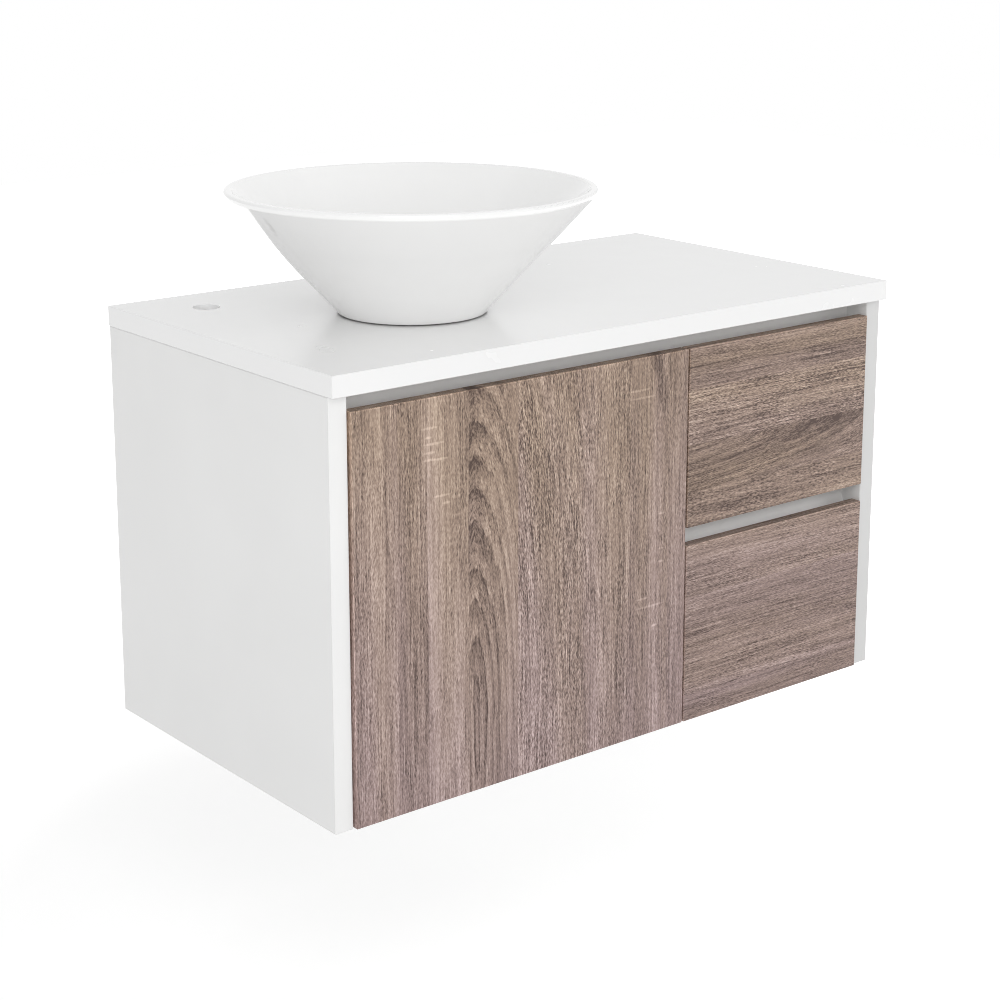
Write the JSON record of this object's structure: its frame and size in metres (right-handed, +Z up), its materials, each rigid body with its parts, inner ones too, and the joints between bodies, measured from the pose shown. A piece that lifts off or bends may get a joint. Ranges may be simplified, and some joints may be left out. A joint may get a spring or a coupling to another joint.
{
  "type": "vessel sink on vanity",
  "caption": "Wall-hung white vanity with grey oak door and drawers, finger-pull rails and a conical white vessel basin on the bench.",
  "frame": {"origin": "middle of the underside, under the middle of the benchtop", "axes": "+X to the right seen from the front, +Y from the front to the wall, +Z up"},
  "size_m": [0.9, 0.5, 0.699],
  "materials": {
    "white_board": "satin white melamine on board",
    "white_bench": "smooth white lacquered slab",
    "grey_oak": "textured grey-brown oak decor",
    "white_profile": "white powder-coated extrusion",
    "glazed_ceramic": "gloss white glaze",
    "zinc_steel": "zinc-plated steel",
    "nickel_steel": "bright nickel-plated steel",
    "chrome": "polished chrome",
    "white_plastic": "moulded white plastic",
    "clear_plastic": "soft clear plastic",
    "rubber": "black moulded rubber",
    "brass": "cast brass"
  },
  "bodies": {
    "cabinet": {"left_side_panel": "white_board", "right_side_panel": "white_board", "bottom_panel": "white_board", "divider_panel": "white_board", "front_top_rail": "white_board", "upper_back_rail": "white_board", "lower_back_rail": "white_board", "drawer_back_panel": "white_board", "benchtop": "white_bench", "top_finger_profile": "white_profile", "middle_finger_profile": "white_profile", "profile_clips": "white_plastic", "shelf": "white_board", "shelf_pins": "nickel_steel", "basin": "glazed_ceramic", "waste_body": "chrome", "waste_seal": "rubber", "waste_washer": "rubber", "waste_nut": "brass", "click_cartridge": "brass", "trap_coupling_nut": "white_plastic", "trap_seal": "rubber", "trap_inlet_tube": "white_plastic", "trap_neck_nut": "white_plastic", "trap_neck_seal": "rubber", "trap_body": "white_plastic", "trap_cup": "white_plastic", "outlet_nut": "white_plastic", "outlet_pipe": "white_plastic", "wall_flange": "white_plastic", "hinge_arms": "nickel_steel", "hinge_plates": "nickel_steel", "upper_slide_cabinet_members": "zinc_steel", "lower_slide_cabinet_members": "zinc_steel"},
    "door": {"door_front": "grey_oak", "door_bumpers": "clear_plastic", "hinge_cups": "nickel_steel", "hinge_pins": "nickel_steel"},
    "waste_plug": {"plug": "chrome", "plug_seal": "rubber"},
    "upper_drawer": {"upper_drawer_front": "grey_oak", "upper_drawer_left_side": "white_board", "upper_drawer_right_side": "white_board", "upper_drawer_back": "white_board", "upper_drawer_bottom": "white_board", "upper_slide_drawer_members": "zinc_steel"},
    "upper_slide_middle": {"upper_slide_middle_members": "zinc_steel"},
    "upper_outer_cage": {"upper_slide_outer_cages": "zinc_steel"},
    "upper_inner_cage": {"upper_slide_inner_cages": "zinc_steel"},
    "lower_drawer": {"lower_drawer_front": "grey_oak", "lower_drawer_left_side": "white_board", "lower_drawer_right_side": "white_board", "lower_drawer_back": "white_board", "lower_drawer_bottom": "white_board", "lower_slide_drawer_members": "zinc_steel"},
    "lower_slide_middle": {"lower_slide_middle_members": "zinc_steel"},
    "lower_outer_cage": {"lower_slide_outer_cages": "zinc_steel"},
    "lower_inner_cage": {"lower_slide_inner_cages": "zinc_steel"}
  },
  "joints": [
    {"name": "door_swing", "type": "hinge", "parent": "cabinet", "child": "door", "pos_m": [-0.404, -0.2345, 0.25], "axis": [0, 0, -1], "range_deg": [0, 100]},
    {"name": "upper_drawer_slide", "type": "slide", "parent": "cabinet", "child": "upper_drawer", "axis": [0, -1, 0], "range_m": [0, 0.4]},
    {"name": "upper_slide_middle_travel", "type": "slide", "parent": "cabinet", "child": "upper_slide_middle", "axis": [0, -1, 0], "range_m": [0, 0.2]},
    {"name": "upper_outer_cage_travel", "type": "slide", "parent": "cabinet", "child": "upper_outer_cage", "axis": [0, -1, 0], "range_m": [0, 0.1]},
    {"name": "upper_inner_cage_travel", "type": "slide", "parent": "cabinet", "child": "upper_inner_cage", "axis": [0, -1, 0], "range_m": [0, 0.3]},
    {"name": "lower_drawer_slide", "type": "slide", "parent": "cabinet", "child": "lower_drawer", "axis": [0, -1, 0], "range_m": [0, 0.4]},
    {"name": "lower_slide_middle_travel", "type": "slide", "parent": "cabinet", "child": "lower_slide_middle", "axis": [0, -1, 0], "range_m": [0, 0.2]},
    {"name": "lower_outer_cage_travel", "type": "slide", "parent": "cabinet", "child": "lower_outer_cage", "axis": [0, -1, 0], "range_m": [0, 0.1]},
    {"name": "lower_inner_cage_travel", "type": "slide", "parent": "cabinet", "child": "lower_inner_cage", "axis": [0, -1, 0], "range_m": [0, 0.3]},
    {"name": "plug_lift", "type": "slide", "parent": "cabinet", "child": "waste_plug", "axis": [0, 0, 1], "range_m": [0, 0.008]}
  ],
  "couplings": [
    {"joint": "upper_slide_middle_travel", "follows": "upper_drawer_slide", "ratio": 0.5},
    {"joint": "upper_outer_cage_travel", "follows": "upper_drawer_slide", "ratio": 0.25},
    {"joint": "upper_inner_cage_travel", "follows": "upper_drawer_slide", "ratio": 0.75},
    {"joint": "lower_slide_middle_travel", "follows": "lower_drawer_slide", "ratio": 0.5},
    {"joint": "lower_outer_cage_travel", "follows": "lower_drawer_slide", "ratio": 0.25},
    {"joint": "lower_inner_cage_travel", "follows": "lower_drawer_slide", "ratio": 0.75}
  ]
}
